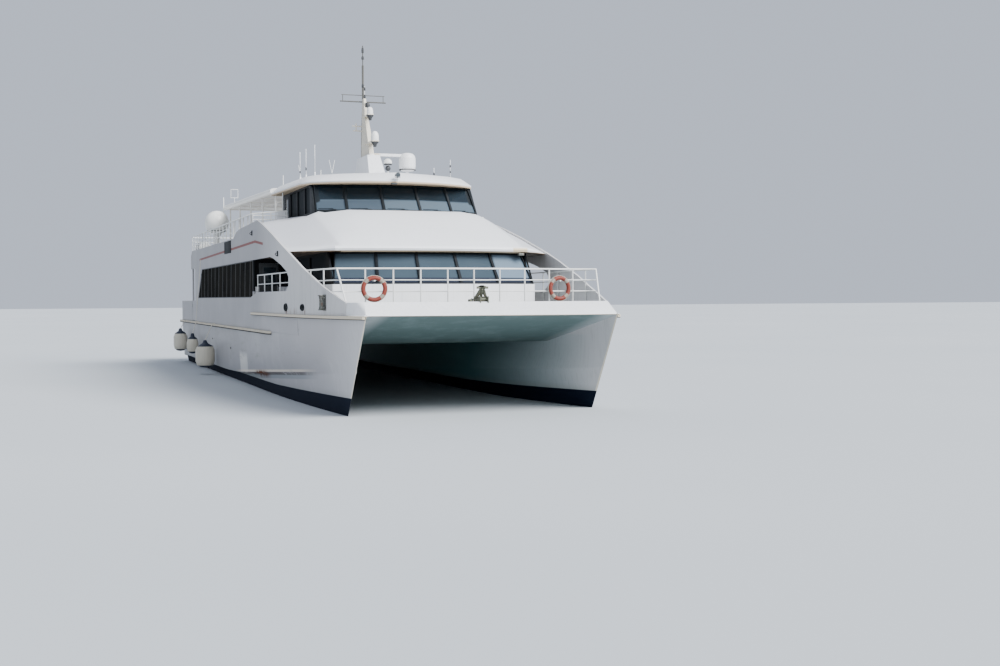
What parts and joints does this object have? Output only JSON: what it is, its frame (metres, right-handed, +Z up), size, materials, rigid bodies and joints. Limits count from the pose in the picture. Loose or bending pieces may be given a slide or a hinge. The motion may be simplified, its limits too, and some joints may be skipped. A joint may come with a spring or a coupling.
{
  "type": "twin-hull passenger ferry",
  "caption": "Fast catamaran passenger ferry with a glazed saloon, raised wheelhouse, awning over the open upper deck, swept bow wings, rudders and propellers; floats at its waterline",
  "frame": {"origin": "On the centreline at the waterline, amidships between the stem heads and the transom", "axes": "+X forward, +Y to port, +Z up, at right angles to the still water surface"},
  "size_m": [37.71, 9.99, 14.62],
  "materials": {
    "hull_paint": "white marine enamel on welded aluminium, very dark navy below the boot-top",
    "tunnel_paint": "grey-green faded paint on welded aluminium",
    "deck_paint": "rough non-slip deck paint",
    "white_paint": "white marine enamel, half gloss",
    "rail_paint": "white enamel on aluminium pipe",
    "window_glass": "tinted safety glass",
    "frame_black": "black window frame, satin",
    "door_frame_grey": "grey framed glazed door",
    "fender_rubber": "cream-painted D-section rubber on a dark seat",
    "fender_vinyl": "inflated off-white vinyl with navy ends",
    "ring_orange": "orange-red cover over hard foam, pale bands",
    "bronze": "cast propeller bronze",
    "antifouling": "dark antifouling paint, dull",
    "seat_fabric": "blue woven seat covers",
    "awning_skin": "white hard awning on a pipe frame",
    "moulded_white": "white gel-coated glass fibre",
    "galvanised_steel": "hot-dip galvanised, weathered",
    "bare_aluminium": "mill-finish aluminium, welded",
    "helm_black": "black moulded helm and chair covers"
  },
  "bodies": {
    "ferry": {"aft_stairs": "bare_aluminium", "awning": "awning_skin", "bow_band": "white_paint", "bridge_deck": "tunnel_paint", "bridge_front_frame": "frame_black", "bridge_glass": "window_glass", "bridge_roof": "white_paint", "bridge_walls": "white_paint", "deck_locker": "white_paint", "deck_seats": "seat_fabric", "fender_1": "fender_vinyl", "fender_2": "fender_vinyl", "fender_3": "fender_vinyl", "fender_rail": "fender_rubber", "foredeck": "deck_paint", "foredeck_rail": "rail_paint", "front_roof": "white_paint", "ground_tackle": "galvanised_steel", "helm_station": "helm_black", "large_dome": "moulded_white", "life_ring_port": "ring_orange", "life_ring_starboard": "ring_orange", "liferaft_port": "moulded_white", "liferaft_starboard": "moulded_white", "main_deck": "deck_paint", "mast": "white_paint", "port_hull": "hull_paint", "saloon_aft_wall": "white_paint", "saloon_fore_glass": "window_glass", "saloon_fore_wall": "white_paint", "saloon_front_frame": "frame_black", "saloon_seats": "seat_fabric", "side_glass_port": "window_glass", "side_glass_starboard": "window_glass", "side_wall_port": "white_paint", "side_wall_starboard": "white_paint", "starboard_hull": "hull_paint", "stern_bulwark": "white_paint", "upper_deck": "deck_paint", "upper_rail_port": "rail_paint", "upper_rail_starboard": "rail_paint", "wing_port": "white_paint", "wing_starboard": "white_paint"},
    "propeller_starboard": {"propeller_starboard": "bronze"},
    "rudder_starboard": {"rudder_starboard": "antifouling"},
    "bridge_door_starboard": {"bridge_door_starboard": "white_paint"},
    "neck_door_starboard": {"neck_door_starboard": "white_paint"},
    "aft_door_starboard": {"aft_door_starboard": "door_frame_grey"},
    "boarding_gate_starboard": {"boarding_gate_starboard": "white_paint"},
    "hatch_lid_starboard": {"hatch_lid_starboard": "white_paint"},
    "propeller_port": {"propeller_port": "bronze"},
    "rudder_port": {"rudder_port": "antifouling"},
    "bridge_door_port": {"bridge_door_port": "white_paint"},
    "neck_door_port": {"neck_door_port": "white_paint"},
    "aft_door_port": {"aft_door_port": "door_frame_grey"},
    "boarding_gate_port": {"boarding_gate_port": "white_paint"},
    "hatch_lid_port": {"hatch_lid_port": "white_paint"},
    "searchlight": {"searchlight": "frame_black"},
    "windlass_drum": {"windlass_drum": "galvanised_steel"}
  },
  "joints": [
    {"name": "propeller_spin_starboard", "type": "hinge", "parent": "ferry", "child": "propeller_starboard", "pos_m": [-17.25, -3.45, -1.16], "axis": [0.9984, 0, 0.0558], "continuous": true},
    {"name": "rudder_steer_starboard", "type": "hinge", "parent": "ferry", "child": "rudder_starboard", "pos_m": [-18.05, -3.45, -1], "axis": [0, 0, 1], "range_deg": [-35, 35]},
    {"name": "bridge_door_swing_starboard", "type": "hinge", "parent": "ferry", "child": "bridge_door_starboard", "pos_m": [4.214, -2.9625, 6.3], "axis": [0, 0, 1], "range_deg": [0, 95]},
    {"name": "neck_door_swing_starboard", "type": "hinge", "parent": "ferry", "child": "neck_door_starboard", "pos_m": [5.2825, -4.274, 3.7], "axis": [0, 0, -1], "range_deg": [0, 95]},
    {"name": "aft_door_swing_starboard", "type": "hinge", "parent": "ferry", "child": "aft_door_starboard", "pos_m": [-12.6122, -0.864, 3.2], "axis": [0, 0, 1], "range_deg": [0, 95]},
    {"name": "boarding_gate_swing_starboard", "type": "hinge", "parent": "ferry", "child": "boarding_gate_starboard", "pos_m": [-12.836, -4.4275, 2.8], "axis": [0, 0, -1], "range_deg": [0, 95]},
    {"name": "hatch_lid_lift_starboard", "type": "hinge", "parent": "ferry", "child": "hatch_lid_starboard", "pos_m": [14.9875, -1.7, 2.983], "axis": [0, -1, 0], "range_deg": [0, 100]},
    {"name": "propeller_spin_port", "type": "hinge", "parent": "ferry", "child": "propeller_port", "pos_m": [-17.25, 3.45, -1.16], "axis": [0.9984, 0, 0.0558], "continuous": true},
    {"name": "rudder_steer_port", "type": "hinge", "parent": "ferry", "child": "rudder_port", "pos_m": [-18.05, 3.45, -1], "axis": [0, 0, 1], "range_deg": [-35, 35]},
    {"name": "bridge_door_swing_port", "type": "hinge", "parent": "ferry", "child": "bridge_door_port", "pos_m": [4.214, 2.9625, 6.3], "axis": [0, 0, -1], "range_deg": [0, 95]},
    {"name": "neck_door_swing_port", "type": "hinge", "parent": "ferry", "child": "neck_door_port", "pos_m": [5.2825, 4.274, 3.7], "axis": [0, 0, 1], "range_deg": [0, 95]},
    {"name": "aft_door_swing_port", "type": "hinge", "parent": "ferry", "child": "aft_door_port", "pos_m": [-12.6122, 0.864, 3.2], "axis": [0, 0, -1], "range_deg": [0, 95]},
    {"name": "boarding_gate_swing_port", "type": "hinge", "parent": "ferry", "child": "boarding_gate_port", "pos_m": [-12.836, 4.4275, 2.8], "axis": [0, 0, 1], "range_deg": [0, 95]},
    {"name": "hatch_lid_lift_port", "type": "hinge", "parent": "ferry", "child": "hatch_lid_port", "pos_m": [14.9875, 1.7, 2.983], "axis": [0, -1, 0], "range_deg": [0, 100]},
    {"name": "searchlight_train", "type": "hinge", "parent": "ferry", "child": "searchlight", "pos_m": [9.66, -0.23, 7.5], "axis": [0, 0, 1], "range_deg": [-170, 170]},
    {"name": "windlass_spin", "type": "hinge", "parent": "ferry", "child": "windlass_drum", "pos_m": [17.45, 0, 3.1703], "axis": [0, 1, 0], "continuous": true}
  ]
}
